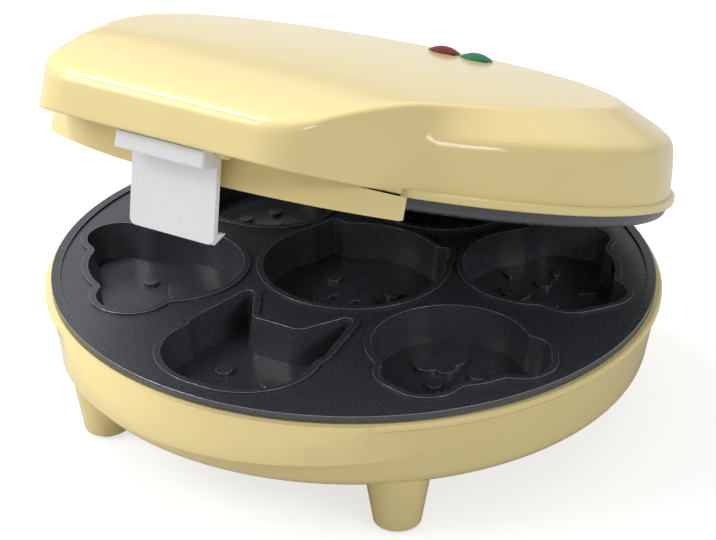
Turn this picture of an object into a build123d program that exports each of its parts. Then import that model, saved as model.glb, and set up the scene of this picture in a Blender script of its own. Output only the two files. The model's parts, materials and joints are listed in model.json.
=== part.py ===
from build123d import *
import os
from math import atan2, asin, cos, degrees, hypot, radians, sin, sqrt, tan

# A small round cake maker: a bowl-shaped base on four feet, a hinged lid with a broad handle,
# two dark plates with seven animal-head moulds each, and a latch that hooks under the base's lip.
# Millimetres. The origin is on the table under the middle of the plates, +Z is up and the handle
# points to -Y. The lid's pieces are drawn with the lid shut and swung open when they are written.

# Whole object. The plates' radius sets what stands round them.
PLATE_R = 105.0           # radius of both plates
RIM_R = PLATE_R + 2.2     # outer radius of both rims
LID_ANGLE = 19.5          # how far the lid stands open
HINGE_Y = RIM_R + 5.4     # hinge axis, behind the plates
HINGE_Z = 50.8
WALL = 2.4                # moulded wall of base and lid
GAP = 0.3                 # clearance between pieces that are assembled
OVERLAP = 1.0             # how far a form reaches into the one that it is joined to

# Base
BASE_Z = 20.0             # underside of the bowl
BASE_TOP_R = RIM_R - 1.2  # bowl's radius below the rim
BASE_LOW_R = BASE_TOP_R - 4.0
BASE_CORNER_R = 7.0       # rounding of the bowl's lower corner
BASE_RIM_Z = 46.4         # top of the rim
RIM_H = 2.4               # height of the rim's bead
BEAD_ROUND = 0.8

# Front lip that the latch hooks under
LIP_R = RIM_R - 20.4
LIP_PROUD = 5.6           # how far it stands out of the rim
LIP_CENTRE_Y = LIP_R - RIM_R - LIP_PROUD
LIP_TOP_Z = 35.3          # height of the lip's front edge
LIP_FACE_H = 1.7          # height of its small front face
LIP_UNDER_Z = 29.5        # where its underside runs into the bowl
LIP_UNDER_R = LIP_R - 7.3
CATCH_DEEP = 8.2          # depth of the pocket that takes the latch's hook

# Feet
FOOT_RING_R = BASE_LOW_R - 11.5
FOOT_ANGLE = 50.1         # from the X axis
FOOT_X = FOOT_RING_R * cos(radians(FOOT_ANGLE))
FOOT_Y = FOOT_RING_R * sin(radians(FOOT_ANGLE))
FOOT_TOP_R = 10.9
FOOT_LOW_R = 7.8
FOOT_WALL = 2.2
FOOT_ROUND = 1.0
PAD_R = 5.4
PAD_PROUD = 1.2           # how far a rubber pad stands out of its foot
PAD_DEEP = 1.4            # how deep it sits in the foot

# Cord inlet at the back
INLET_Z = 31.0
INLET_FLAT_Y = BASE_TOP_R # flat face on the back of the bowl
INLET_FLAT_R = 8.5
INLET_FLANGE_R = 6.5
INLET_FLANGE_T = 1.6
INLET_NECK_R = 4.6
INLET_BARB_R = 5.4
INLET_BORE_R = 3.0

# Lid
LID_RIM_Z = 54.1          # lower edge of the lid, shut
LID_BEAD_H = 3.0
LID_LOW_R = RIM_R - 1.3   # wall's radius at its lower edge
LID_CREASE_R = LID_LOW_R - 2.1
LID_CREASE_Z = 75.2
LID_CREASE_ROUND = 4.0    # how far the crease's rounding runs to either side
PANEL_R = LID_CREASE_R - 20.5   # radius of the top panel's edge
PANEL_Z = 84.3
ROOF_CREST_Y = 15.0
ROOF_CREST_Z = 85.4
ROOF_BACK_R = 2300.0      # long curve of the roof, front to back
ROOF_FRONT_Z = 73.9
ROOF_ACROSS_R = 3000.0    # slight curve of the roof, side to side

# Handle, moulded in one with the lid
HANDLE_Y = -RIM_R - 25.5  # its front face
HANDLE_HALF = 33.5        # half the straight part of that face
HANDLE_CORNER_R = 18.0
CORNER_Y = HANDLE_Y + HANDLE_CORNER_R   # the corners' centres
NECK_R = 25.0             # hollow curve between handle and round wall
ROOF_NOSE_Y = HANDLE_Y + 56.7   # where the roof starts to fall to the handle
HANDLE_RISE_Y = HANDLE_Y + 50.7   # where the lower edge starts to rise
HANDLE_RISE = 7.07        # degrees

# Handle's cover and the curtain below it
COVER_Z = 61.0
COVER_T = 2.0
COVER_BACK_R = LID_LOW_R - 1.9
COVER_BOSS_R = 4.0
COVER_SCREW_X = 40.0
COVER_SCREW_Y = -RIM_R - 6.3
CURTAIN_R = RIM_R + 6.3
CURTAIN_T = 2.2
CURTAIN_Z = 47.8
CURTAIN_HALF = 65.0
LUG_T = 3.0               # the lugs that hold the latch's pin

# Latch
LATCH_HALF = 15.5
LATCH_T = 2.2
LATCH_LEAN = 11.7
LATCH_Y = -CURTAIN_R - 7.5      # latch pivot, lid shut
LATCH_Z = 60.5
LATCH_LOW_Z = 29.8
LATCH_BARREL_R = 3.0
LATCH_PIN_R = 1.25
LATCH_SLOT_SIDE = 1.4     # room beside the latch in the cover's slot
BAR_HALF = 16.2           # finger bar along the latch's top
BAR_REACH = 8.2
BAR_LOW_Z = 54.2
BAR_TOP_Z = 60.2
BAR_ROUND = 1.0
HOOK_REACH = 6.4
HOOK_TIP_Z = 33.0
HOOK_TOP_Z = 33.3

# Hinge
KNUCKLE_HALF = 17.5
KNUCKLE_R = 5.8
EAR_INNER = 18.0
EAR_T = 10.0
EAR_R = 6.0
EAR_FOOT_R = 1.0
EAR_FOOT_LOW_Z = BASE_Z + 6.0
EAR_FOOT_TOP_Z = BASE_Z + 12.0
PIN_R = 2.5
PIN_INNER = 4.0           # how far from the middle each hinge pin ends
PIN_HEAD_R = 4.2
PIN_HEAD_T = 1.6
TURN_GAP = 0.25

# Plates
PLATE_T = 2.5
LOWER_TOP_Z = 49.2
UPPER_FACE_Z = 49.7       # mould face of the upper plate, lid shut
UPPER_ROUND = 2.5
BORDER_W = 3.0            # raised border along the lower plate's edge
UPPER_BORDER_W = 2.0      # the upper plate's, inside its rounding
RIDGE_H = 0.8             # height of border and mould ridges
RIDGE_W = 2.2
LOWER_DEPTH = 13.0
UPPER_DEPTH = 9.0
MOULD_TAPER = 8.0
MOULD_FLOOR = 2.2
RING_R = PLATE_R * 0.624  # circle on which six of the moulds lie
HEAD_R = PLATE_R * 0.286  # about the radius of a head, which sets its ears and face
NOTCH_ROUND = HEAD_R / 10 # rounding where an ear meets a head
FACE_H = 1.4              # height of eyes and snouts on a mould's floor

# Plate fixings
POST_R = PLATE_R - 13.0
POST_ANGLES = (-60.0, 60.0, 180.0)
POST_BOSS_R = 4.2
SCREW_R = 1.5
SCREW_HEAD_R = 2.9
SCREW_HEAD_H = 1.8
SCREW_BITE = 7.0          # thread held in a post
SCREW_SEAT_T = 4.0        # what lies between a screw's head and the plate's post
THREAD_GAP = 0.1
HOLE_GAP = 0.3

# Heating
ELEMENT_R = PLATE_R - 45.0
ELEMENT_ROD_R = 3.2
ELEMENT_GAP_ANGLE = 34.0
TERMINAL_R = 1.5
TERMINAL_L = 9.0
REFLECTOR_R = POST_R + 5.0
REFLECTOR_BEND_R = POST_R - 6.0
REFLECTOR_DISH_R = POST_R - 13.0
REFLECTOR_DEPTH = 7.6
REFLECTOR_T = 0.6

# Lamps
LENS_R = 6.0
LAMP_X = LENS_R + 0.6      # half the distance between the two lamps
LAMP_Y = 61.0
LENS_STEM_R = 4.4
LENS_STEM_L = 5.0
LENS_DOME = 2.4
LENS_EDGE = 0.4
LENS_BORE_R = 3.0
LENS_CAP_T = 1.2
LENS_SEAT = 0.2           # height of the lens over the roof's highest point under it
NEON_R = 2.7
NEON_L = 8.0

# The sharpest ear whose tip is still round at the bottom of its tapering mould, in parts of a head's radius
EAR_TIP = (RIDGE_W + LOWER_DEPTH * tan(radians(MOULD_TAPER)) + 0.5) / HEAD_R


def hull(*discs):
    """The rounded outline around several discs, each given as x, y and radius."""
    with BuildSketch() as outline:
        for x, y, radius in discs:
            with Locations((x, y)):
                Circle(radius)
        if len(discs) > 1:
            make_hull()
    return outline.sketch


def part(*discs):
    """One part of an animal's head, its discs given in parts of the head's radius."""
    return hull(*[(x * HEAD_R, y * HEAD_R, radius * HEAD_R) for x, y, radius in discs])


def mirrored(*parts):
    """The parts and their mirror images."""
    with BuildSketch() as marks:
        add(parts)
        mirror(about=Plane.YZ)
    return marks.sketch


def head(face, *ears):
    """A head with mirrored pairs of ears, its notches rounded."""
    with BuildSketch() as outline:
        add(face)
        add(mirrored(*ears))
        offset(amount=NOTCH_ROUND)
        offset(amount=-NOTCH_ROUND)
    return outline.sketch


def cat():
    skull = part((-0.11, -0.27, 0.83), (0.11, -0.27, 0.83))
    ear = part((0.65, 0.93, EAR_TIP), (0.51, 0.13, 0.42))
    eye = part((0.30, -0.12, 0.09), (0.31, -0.08, 0.09))
    whisker = part((0.24, -0.58, 0.035), (0.52, -0.54, 0.035))
    mouth = part((0, -0.66, 0.04), (0.13, -0.72, 0.04))
    return head(skull, ear), mirrored(eye, whisker, mouth, part((0, -0.48, 0.07)))


def dog():
    ear = part((0.55, 0.62, 0.42), (0.68, 0.42, 0.38))
    eye = part((0.26, 0.16, 0.08))
    jowl = part((0.14, -0.30, 0.17))
    return head(part((0, 0, 0.95)), ear), mirrored(eye, jowl, part((0, -0.12, 0.11)))


def bear():
    eye = part((0.30, 0.16, 0.08))
    snout = part((-0.08, -0.26, 0.24), (0.08, -0.26, 0.24))
    return head(part((0, 0, 0.98)), part((0.73, 0.47, 0.47))), mirrored(eye, snout)


def tiger():
    skull = part((-0.05, -0.03, 0.95), (0.05, -0.03, 0.95))
    ear = part((0.67, 0.57, 0.40), (0.80, 0.23, 0.40))
    eye = part((0.27, 0.08, 0.09))
    stripe = part((0.48, 0.24, 0.035), (0.62, 0.28, 0.035))
    low_stripe = part((0.50, -0.30, 0.035), (0.66, -0.34, 0.035))
    brow = part((0, 0.46, 0.035), (0, 0.64, 0.035))
    snout = part((0, -0.20, 0.08), (0.10, -0.34, 0.10))
    return head(skull, ear), mirrored(eye, stripe, low_stripe, brow, snout)


def chick():
    tuft = part((0, 0.87, 0.17), (0.20, 0.73, 0.20))
    eye = part((0.28, 0.10, 0.09))
    beak = part((0, -0.06, 0.05), (0.15, -0.18, 0.04), (0, -0.34, 0.05))
    return head(part((0, -0.03, 0.97)), tuft), mirrored(eye, beak)


def monkey():
    skull = part((-0.10, 0.10, 0.90), (0.10, 0.10, 0.90), (0, -0.20, 0.80))
    eye = part((0.20, 0.20, 0.08))
    mouth = part((0, -0.52, 0.04), (0.22, -0.42, 0.04))
    return head(skull, part((0.90, 0.05, 0.32))), mirrored(eye, mouth, part((0.05, -0.10, 0.07)))


def pig():
    ear = part((0.74, 0.82, EAR_TIP), (0.67, 0.60, 0.30))
    eye = part((0.40, 0.22, 0.09))
    with BuildSketch() as snout:
        add(part((-0.14, -0.22, 0.24), (0.14, -0.22, 0.24)))
        add(mirrored(part((0.14, -0.25, 0.05), (0.14, -0.19, 0.05))), mode=Mode.SUBTRACT)
    return head(part((0, 0, 1.13)), ear), mirrored(eye, snout.sketch)


# Each mould's outline and face with their place: the angle round the ring and the way its ears point.
def placed(animal, angle, ears_to):
    place = Location((RING_R * cos(radians(angle)), RING_R * sin(radians(angle))))
    return [sketch.rotate(Axis.Z, ears_to - 90).moved(place) for sketch in animal]


MOULDS = [
    pig(),
    placed(cat(), -90, 90),
    placed(dog(), -30, -38),
    placed(tiger(), 30, 34),
    placed(chick(), 90, 90),
    placed(monkey(), 150, 150),
    placed(bear(), -150, -140),
]


def moulds(depth, inset):
    """The seven moulds as solids that taper downwards from z = 0, drawn in by the inset."""
    with BuildPart() as form:
        for outline, _ in MOULDS:
            with BuildSketch():
                add(outline)
                offset(amount=-inset)
            extrude(amount=-depth, taper=MOULD_TAPER)
    return form.part


def faces(depth):
    """Eyes, snouts and the like, raised from the floors of moulds of that depth."""
    with BuildPart() as form:
        for _, marks in MOULDS:
            with BuildSketch(Plane.XY.offset(FACE_H - depth)):
                add(marks)
            extrude(amount=-FACE_H - OVERLAP)
    return form.part


def bowl(inset):
    """The bowl as a solid of revolution, drawn in by the inset."""
    flare = (BASE_TOP_R - BASE_LOW_R) / (BASE_RIM_Z - RIM_H - BASE_Z)
    low_r = BASE_LOW_R - inset + flare * inset
    with BuildPart() as form:
        with BuildSketch(Plane.XZ) as section:
            with BuildLine():
                Polyline(
                    (0, BASE_Z + inset),
                    (low_r, BASE_Z + inset),
                    (low_r + flare * (BASE_RIM_Z - BASE_Z - inset), BASE_RIM_Z),
                    (0, BASE_RIM_Z),
                    close=True,
                )
            make_face()
            corner = section.vertices().group_by(Axis.Y)[0].sort_by(Axis.X)[-1]
            fillet(corner, radius=BASE_CORNER_R - inset)
        revolve(axis=Axis.Z)
    return form.part


def lip(inset):
    """The bowl's front lip: an upright drum under a cone that flares from the rim, tapered below."""
    drum_z = LIP_TOP_Z - LIP_FACE_H + inset
    flare = LIP_PROUD / (BASE_RIM_Z - LIP_TOP_Z)
    with BuildPart() as form:
        with BuildSketch(Plane.XY.offset(drum_z)):
            with Locations((0, LIP_CENTRE_Y)):
                Circle(LIP_R - inset)
        extrude(amount=BASE_RIM_Z - drum_z)
        with BuildSketch(Plane.XY.offset(LIP_UNDER_Z + inset)):
            with Locations((0, LIP_CENTRE_Y)):
                Circle(LIP_UNDER_R - inset)
        with BuildSketch(Plane.XY.offset(drum_z)):
            with Locations((0, LIP_CENTRE_Y)):
                Circle(LIP_R - inset)
        loft()
        with BuildSketch(Plane.XY.offset(LIP_UNDER_Z)):
            Circle(RIM_R + flare * (BASE_RIM_Z - LIP_UNDER_Z) - inset * sqrt(1 + flare ** 2))
        extrude(amount=BASE_RIM_Z - LIP_UNDER_Z, taper=degrees(atan2(flare, 1)), mode=Mode.INTERSECT)
    return form.part


def rim(low_z, height):
    """A flat disc with a rounded edge, the bead along a rim."""
    with BuildPart() as form:
        with BuildSketch(Plane.XY.offset(low_z)):
            Circle(RIM_R)
        extrude(amount=height)
        fillet(form.edges(), radius=BEAD_ROUND)
    return form.part


def posts(radius, low_z, top_z):
    """Round posts at the three places where a plate is fixed."""
    with BuildPart() as form:
        for angle in POST_ANGLES:
            with BuildSketch(Plane.XY.offset(low_z)):
                with Locations((POST_R * cos(radians(angle)), POST_R * sin(radians(angle)))):
                    Circle(radius)
        extrude(amount=top_z - low_z)
    return form.part


LOWER_UNDER_Z = LOWER_TOP_Z - PLATE_T
LOWER_POST_Z = LOWER_TOP_Z - LOWER_DEPTH - MOULD_FLOOR - GAP   # where a plate's post ends
BASE_FLOOR_Z = BASE_Z + WALL
BASE_BOWL = bowl(0)
BASE_LIP = lip(0)
BASE_BEAD = rim(BASE_RIM_Z - RIM_H, RIM_H)
BASE_SPACE = bowl(WALL)
LIP_SPACE = lip(WALL)
EAR_FOOT_Y = BASE_LOW_R - 2 * WALL + EAR_FOOT_R
EAR_SIDE = hull(
    (HINGE_Y, HINGE_Z, EAR_R),
    (EAR_FOOT_Y, EAR_FOOT_LOW_Z, EAR_FOOT_R),
    (EAR_FOOT_Y, EAR_FOOT_TOP_Z, EAR_FOOT_R),
)
FOOT_FLARE = degrees(atan2(FOOT_TOP_R - FOOT_LOW_R, BASE_Z - PAD_PROUD))
FOOT_HOLLOW_Z = PAD_PROUD + PAD_DEEP + FOOT_WALL
HEAD_HOLES = posts(SCREW_HEAD_R + HOLE_GAP, BASE_Z, LOWER_POST_Z - SCREW_SEAT_T)
SCREW_HOLES = posts(SCREW_R + HOLE_GAP, BASE_Z, LOWER_POST_Z)
CATCH_TOP_Z = LIP_TOP_Z - LIP_FACE_H
CATCH_LOW_Z = LATCH_LOW_Z - GAP
BASE_POSTS = posts(POST_BOSS_R, BASE_FLOOR_Z - GAP, LOWER_POST_Z - REFLECTOR_T)

with BuildPart() as base_space:
    add(BASE_SPACE)
    add(LIP_SPACE)
    add(BASE_POSTS, mode=Mode.SUBTRACT)

with BuildPart() as base_shell:
    add(BASE_BOWL)
    add(BASE_LIP)
    add(BASE_BEAD)
    for side in (-1, 1):
        with BuildSketch(Plane.YZ.offset(side * (EAR_INNER + EAR_T / 2))):
            add(EAR_SIDE)
        extrude(amount=EAR_T / 2, both=True)
    with BuildSketch(Plane.XY.offset(PAD_PROUD)):
        with GridLocations(2 * FOOT_X, 2 * FOOT_Y, 2, 2):
            Circle(FOOT_LOW_R)
    extrude(amount=BASE_Z - PAD_PROUD + WALL, taper=-FOOT_FLARE)
    fillet(base_shell.edges().group_by(Axis.Z)[0], radius=FOOT_ROUND)
    with BuildSketch(Plane.XZ.offset(-INLET_FLAT_Y)):
        with Locations((0, INLET_Z)):
            Circle(INLET_FLAT_R)
    extrude(amount=INLET_FLAT_Y - BASE_LOW_R + 2 * WALL)
    add(base_space.part, mode=Mode.SUBTRACT)
    with BuildSketch(Plane.XY.offset(FOOT_HOLLOW_Z)):
        with GridLocations(2 * FOOT_X, 2 * FOOT_Y, 2, 2):
            Circle(FOOT_LOW_R - FOOT_WALL)
    extrude(amount=BASE_FLOOR_Z - FOOT_HOLLOW_Z, taper=-FOOT_FLARE, mode=Mode.SUBTRACT)
    with BuildSketch(Plane.XY.offset(PAD_PROUD)):
        with GridLocations(2 * FOOT_X, 2 * FOOT_Y, 2, 2):
            Circle(PAD_R + THREAD_GAP)
    extrude(amount=PAD_DEEP, mode=Mode.SUBTRACT)
    with BuildSketch(Plane.XZ.offset(-INLET_FLAT_Y)):
        with Locations((0, INLET_Z)):
            Circle(INLET_NECK_R + THREAD_GAP)
    extrude(amount=INLET_FLAT_Y - BASE_LOW_R + 3 * WALL, mode=Mode.SUBTRACT)
    with BuildSketch(Plane.YZ):
        with Locations((HINGE_Y, HINGE_Z)):
            Circle(PIN_R + THREAD_GAP)
    extrude(amount=EAR_INNER + EAR_T, both=True, mode=Mode.SUBTRACT)
    add(HEAD_HOLES, mode=Mode.SUBTRACT)
    add(SCREW_HOLES, mode=Mode.SUBTRACT)
    with BuildSketch(Plane.XY.offset(CATCH_LOW_Z)):
        with Locations((0, LIP_CENTRE_Y - LIP_R)):
            Rectangle(2 * (LATCH_HALF + LATCH_SLOT_SIDE), 2 * CATCH_DEEP)
    extrude(amount=CATCH_TOP_Z - CATCH_LOW_Z, mode=Mode.SUBTRACT)


def lid_plan(wall_r, panel_r, inset, panel):
    """The lid's plan: its round wall runs through hollow necks into the handle's straight sides.

    The top panel's outline has the same edges in the same order, so that straight rulings join them.
    """
    lean = asin((panel_r - HANDLE_CORNER_R) / hypot(HANDLE_HALF, CORNER_Y)) - atan2(HANDLE_HALF, -CORNER_Y)
    out = Vector(cos(lean), -sin(lean))           # square to the handle's straight side
    along = Vector(-sin(lean), -cos(lean))        # along that side, to the front
    neck_at = sqrt((wall_r + NECK_R) ** 2 - (panel_r + NECK_R) ** 2)
    neck = out * (panel_r + NECK_R) + along * neck_at
    neck_turn = atan2(neck_at, panel_r + NECK_R)
    corner = Vector(HANDLE_HALF, CORNER_Y) + out * (HANDLE_CORNER_R - inset)
    half_way = (out + Vector(0, -1)).normalized()
    corner_mid = Vector(HANDLE_HALF, CORNER_Y) + half_way * (HANDLE_CORNER_R - inset)
    side = out * (panel_r - inset) + along * neck_at
    with BuildSketch() as plan:
        with BuildLine():
            Line((0, HANDLE_Y + inset), (HANDLE_HALF, HANDLE_Y + inset))
            ThreePointArc((HANDLE_HALF, HANDLE_Y + inset), corner_mid, corner)
            Line(corner, side)
            if panel:
                bend = out * (panel_r - inset) + along * ((panel_r - inset) * tan(neck_turn))
                round_r = panel_r - inset
                Line(side, bend)
                Line(bend, out * round_r)
            else:
                round_r = wall_r - inset
                bend = neck.normalized() * round_r
                middle = ((side - neck).normalized() + (bend - neck).normalized()).normalized()
                ThreePointArc(side, neck + middle * (NECK_R + inset), bend)
                wall_middle = (bend.normalized() + out).normalized()
                ThreePointArc(bend, wall_middle * round_r, out * round_r)
            ThreePointArc(out * round_r, (out + Vector(0, 1)).normalized() * round_r, (0, round_r))
            mirror(about=Plane.YZ)
        make_face()
    return plan.sketch


def under_roof(drop):
    """All that lies below the lid's arched roof, lowered by the drop."""
    centre_z = ROOF_CREST_Z - ROOF_ACROSS_R
    half_turn = degrees(atan2(-HANDLE_Y, ROOF_ACROSS_R))
    swung = Location((0, 0, centre_z)) * Location((0, 0, 0), (0, -half_turn, 0)) * Location((0, 0, -centre_z))
    rear_y = LID_LOW_R + KNUCKLE_R
    rear_z = ROOF_CREST_Z - drop - (rear_y - ROOF_CREST_Y) ** 2 / (2 * ROOF_BACK_R)
    nose_z = ROOF_CREST_Z - drop - (ROOF_NOSE_Y - ROOF_CREST_Y) ** 2 / (2 * ROOF_BACK_R)
    low_z = LATCH_LOW_Z
    section_plane = Plane(swung * Plane.YZ.location)
    with BuildPart() as form:
        with BuildSketch(section_plane):
            with BuildLine():
                long_arc = ThreePointArc(
                    (rear_y, rear_z),
                    (ROOF_CREST_Y, ROOF_CREST_Z - drop),
                    (ROOF_NOSE_Y, nose_z),
                )
                nose = TangentArc(long_arc @ 1, (HANDLE_Y, ROOF_FRONT_Z - drop), tangent=long_arc % 1)
                Polyline(
                    nose @ 1,
                    (HANDLE_Y - WALL, (nose @ 1).Y),
                    (HANDLE_Y - WALL, low_z),
                    (rear_y, low_z),
                    (rear_y, rear_z),
                )
            make_face()
        revolve(axis=Axis((0, 0, centre_z), (0, 1, 0)), revolution_arc=2 * half_turn)
    return form.part


def lid_form(inset):
    """The lid's outer form, or its inside when drawn in by the wall: level outlines, joined straight."""
    facet = (PANEL_Z - LID_CREASE_Z) / (LID_CREASE_R - PANEL_R)
    draft = (LID_LOW_R - LID_CREASE_R) / (LID_CREASE_Z - LID_RIM_Z)
    over = ROOF_CREST_Z - PANEL_Z + WALL
    crease_z = LID_CREASE_Z - inset * facet
    run = LID_CREASE_ROUND * cos(atan2(facet, 1))
    rise = LID_CREASE_ROUND * sin(atan2(facet, 1))
    below = (LID_CREASE_R + draft * LID_CREASE_ROUND, crease_z - LID_CREASE_ROUND)
    above = (LID_CREASE_R - run, crease_z + rise)
    middle = ((below[0] + above[0] + 2 * LID_CREASE_R) / 4, (below[1] + above[1] + 2 * crease_z) / 4)
    levels = []
    for wall_r, z in ((LID_LOW_R, LID_RIM_Z - inset), below, middle, above):
        side_r = min(PANEL_R, PANEL_R - (LID_CREASE_R - wall_r) / 2)
        levels.append((z, lid_plan(wall_r, side_r, inset, False)))
    levels.append((PANEL_Z + over - inset, lid_plan(LID_CREASE_R, PANEL_R - over / facet, inset, True)))
    below_roof = under_roof(inset)
    with BuildPart() as form:
        for z, plan in levels:
            with BuildSketch(Plane.XY.offset(z)):
                add(plan)
        loft(ruled=True)
        add(below_roof, mode=Mode.INTERSECT)
    return form.part


LID_OUTSIDE = lid_form(0)
LID_INSIDE = lid_form(WALL)
LID_BEAD = rim(LID_RIM_Z, LID_BEAD_H)
UPPER_BACK_Z = UPPER_FACE_Z + RIDGE_H + PLATE_T           # back of the upper plate's web
UPPER_POST_Z = UPPER_FACE_Z + UPPER_DEPTH + MOULD_FLOOR + GAP   # where its posts end
LAMP_ROOF_Z = ROOF_CREST_Z - (LAMP_Y - ROOF_CREST_Y) ** 2 / (2 * ROOF_BACK_R)
LATCH_SLOT_HALF = BAR_HALF + GAP
LATCH_SLOT_REACH = LATCH_Y - HANDLE_Y - WALL - GAP
KNUCKLE_ROOT_Y = LID_LOW_R - WALL + EAR_FOOT_R
KNUCKLE_SIDE = hull(
    (HINGE_Y, HINGE_Z, KNUCKLE_R),
    (KNUCKLE_ROOT_Y, LID_RIM_Z + LID_BEAD_H + KNUCKLE_R / 3, EAR_FOOT_R),
    (KNUCKLE_ROOT_Y, LID_CREASE_Z - LID_CREASE_ROUND, EAR_FOOT_R),
)
LID_POSTS = posts(POST_BOSS_R, UPPER_POST_Z + REFLECTOR_T, ROOF_CREST_Z)
THREAD_HOLES = posts(SCREW_R + THREAD_GAP, UPPER_POST_Z, UPPER_POST_Z + REFLECTOR_T + SCREW_BITE + OVERLAP)
EDGE_RISE = tan(radians(HANDLE_RISE)) * (HANDLE_RISE_Y - HANDLE_Y + WALL)

with BuildPart() as lid_space:
    add(LID_INSIDE)
    with BuildSketch(Plane.XY.offset(LID_RIM_Z - WALL)):
        Circle(PLATE_R + GAP)
    extrude(amount=WALL + GAP)
    add(LID_POSTS, mode=Mode.SUBTRACT)
    with BuildSketch(Plane.XY.offset(COVER_Z + COVER_T + GAP)):
        with Locations((-COVER_SCREW_X, COVER_SCREW_Y), (COVER_SCREW_X, COVER_SCREW_Y)):
            Circle(COVER_BOSS_R)
    extrude(amount=ROOF_CREST_Z - COVER_Z, mode=Mode.SUBTRACT)

with BuildPart() as lid_shell:
    add(LID_OUTSIDE)
    add(LID_BEAD)
    with BuildSketch(Plane.YZ):
        add(KNUCKLE_SIDE)
    extrude(amount=KNUCKLE_HALF, both=True)
    add(lid_space.part, mode=Mode.SUBTRACT)
    with BuildSketch(Plane.YZ):
        with BuildLine():
            Polyline(
                (HANDLE_RISE_Y, LID_RIM_Z),
                (HANDLE_Y - WALL, LID_RIM_Z + EDGE_RISE),
                (HANDLE_Y - WALL, LID_RIM_Z - WALL),
                (HANDLE_RISE_Y, LID_RIM_Z - WALL),
                close=True,
            )
        make_face()
    extrude(amount=RIM_R, both=True, mode=Mode.SUBTRACT)
    with BuildSketch(Plane.YZ):
        with Locations((HINGE_Y, HINGE_Z)):
            Circle(PIN_R + TURN_GAP)
    extrude(amount=KNUCKLE_HALF, both=True, mode=Mode.SUBTRACT)
    with BuildSketch(Plane.XY.offset(LAMP_ROOF_Z - 2 * WALL)):
        with Locations((-LAMP_X, LAMP_Y), (LAMP_X, LAMP_Y)):
            Circle(LENS_STEM_R + GAP)
    extrude(amount=3 * WALL, mode=Mode.SUBTRACT)
    add(THREAD_HOLES, mode=Mode.SUBTRACT)
    with BuildSketch(Plane.XY.offset(COVER_Z)):
        with Locations((-COVER_SCREW_X, COVER_SCREW_Y), (COVER_SCREW_X, COVER_SCREW_Y)):
            Circle(SCREW_R + THREAD_GAP)
    extrude(amount=COVER_T + GAP + SCREW_BITE + OVERLAP, mode=Mode.SUBTRACT)

# The cover closes the handle from below and carries the curtain and the latch's lugs.
cover_height = (COVER_Z + COVER_T - LID_RIM_Z) / (LID_CREASE_Z - LID_RIM_Z)
COVER_PLAN = lid_plan(LID_LOW_R + (LID_CREASE_R - LID_LOW_R) * cover_height, PANEL_R, WALL + GAP, False)

with BuildPart() as handle_cover:
    with BuildSketch(Plane.XY.offset(COVER_Z)):
        add(COVER_PLAN)
        Circle(COVER_BACK_R, mode=Mode.SUBTRACT)
        with Locations((0, HINGE_Y)):
            Rectangle(2 * RIM_R, 2 * (HINGE_Y - HANDLE_RISE_Y), mode=Mode.SUBTRACT)
    extrude(amount=COVER_T)
    with BuildSketch(Plane.XY.offset(CURTAIN_Z)):
        Circle(CURTAIN_R)
        Circle(CURTAIN_R - CURTAIN_T, mode=Mode.SUBTRACT)
        with Locations((0, HANDLE_Y)):
            Rectangle(2 * CURTAIN_HALF, -HANDLE_Y, mode=Mode.INTERSECT)
    extrude(amount=COVER_Z - CURTAIN_Z)
    with BuildSketch(Plane.YZ):
        with BuildLine():
            Polyline(
                (HANDLE_RISE_Y, LID_RIM_Z - GAP),
                (HANDLE_Y - WALL, LID_RIM_Z - GAP + EDGE_RISE),
                (HANDLE_Y - WALL, COVER_Z),
                (HANDLE_RISE_Y, COVER_Z),
                close=True,
            )
        make_face()
    above_edge = extrude(amount=RIM_R, both=True, mode=Mode.PRIVATE)
    with BuildSketch(Plane.XY.offset(LID_RIM_Z - GAP)):
        Circle(2 * RIM_R)
        add(COVER_PLAN, mode=Mode.SUBTRACT)
    outside = extrude(amount=COVER_Z + COVER_T - LID_RIM_Z + GAP, mode=Mode.PRIVATE)
    add(above_edge & outside, mode=Mode.SUBTRACT)
    with BuildSketch(Plane.XY.offset(COVER_Z)):
        with Locations((0, LATCH_Y)):
            Rectangle(2 * LATCH_SLOT_HALF, 2 * LATCH_SLOT_REACH)
    extrude(amount=COVER_T, mode=Mode.SUBTRACT)
    for side in (-1, 1):
        with BuildSketch(Plane.YZ.offset(side * (LATCH_SLOT_HALF + LUG_T / 2))):
            with Locations((LATCH_Y, LATCH_Z)):
                Circle(LATCH_BARREL_R)
            with Locations((LATCH_Y, COVER_Z + COVER_T / 2)):
                Rectangle(2 * LATCH_BARREL_R, COVER_T)
        extrude(amount=LUG_T / 2, both=True)
    with BuildSketch(Plane.YZ):
        with Locations((LATCH_Y, LATCH_Z)):
            Circle(LATCH_PIN_R)
    extrude(amount=RIM_R, both=True, mode=Mode.SUBTRACT)
    with BuildSketch(Plane.XY.offset(COVER_Z)):
        with Locations((-COVER_SCREW_X, COVER_SCREW_Y), (COVER_SCREW_X, COVER_SCREW_Y)):
            Circle(SCREW_R + HOLE_GAP)
    extrude(amount=COVER_T, mode=Mode.SUBTRACT)

UPPER_FACE = Location((0, 0, UPPER_FACE_Z))
UPPER_PODS = moulds(UPPER_DEPTH + MOULD_FLOOR, 0).mirror(Plane.XY).moved(UPPER_FACE)
UPPER_MOULDS = moulds(UPPER_DEPTH, RIDGE_W).mirror(Plane.XY).moved(UPPER_FACE)
UPPER_FACES = faces(UPPER_DEPTH).mirror(Plane.XY).moved(UPPER_FACE)
UPPER_POSTS = posts(POST_BOSS_R, UPPER_BACK_Z, UPPER_POST_Z)
UPPER_HEAD_HOLES = posts(SCREW_HEAD_R + HOLE_GAP, UPPER_FACE_Z, UPPER_POST_Z - SCREW_SEAT_T)
UPPER_SCREW_HOLES = posts(SCREW_R + HOLE_GAP, UPPER_FACE_Z, UPPER_POST_Z)

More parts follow.
